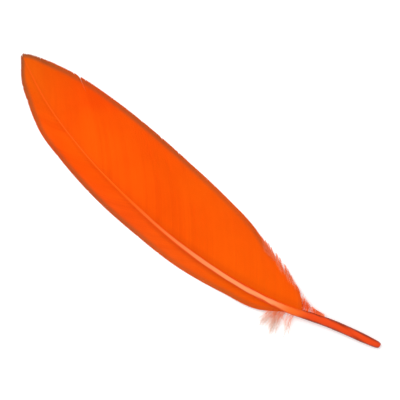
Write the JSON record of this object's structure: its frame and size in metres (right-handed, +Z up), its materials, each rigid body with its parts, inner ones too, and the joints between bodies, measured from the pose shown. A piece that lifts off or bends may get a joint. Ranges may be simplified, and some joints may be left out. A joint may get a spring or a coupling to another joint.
{
  "type": "feather",
  "caption": "Orange dyed wing feather: a bare tapered quill, a raised shaft, a broad and a narrow vane of fine barbs, and wisps of down at their foot. It lies flat.",
  "frame": {"origin": "under the middle of the feather's box, on the surface that it lies on", "axes": "+X from the quill's end to the vane's tip, +Y to the narrow vane's side, +Z up, out of the feather's upper, outer face"},
  "size_m": [0.1072, 0.0218, 0.0041],
  "materials": {
    "vane": "matt, with the faint sheen of fine barbs",
    "shaft": "satin, smooth and slightly see-through horn"
  },
  "bodies": {
    "root": {"feather": "vane"}
  },
  "joints": []
}
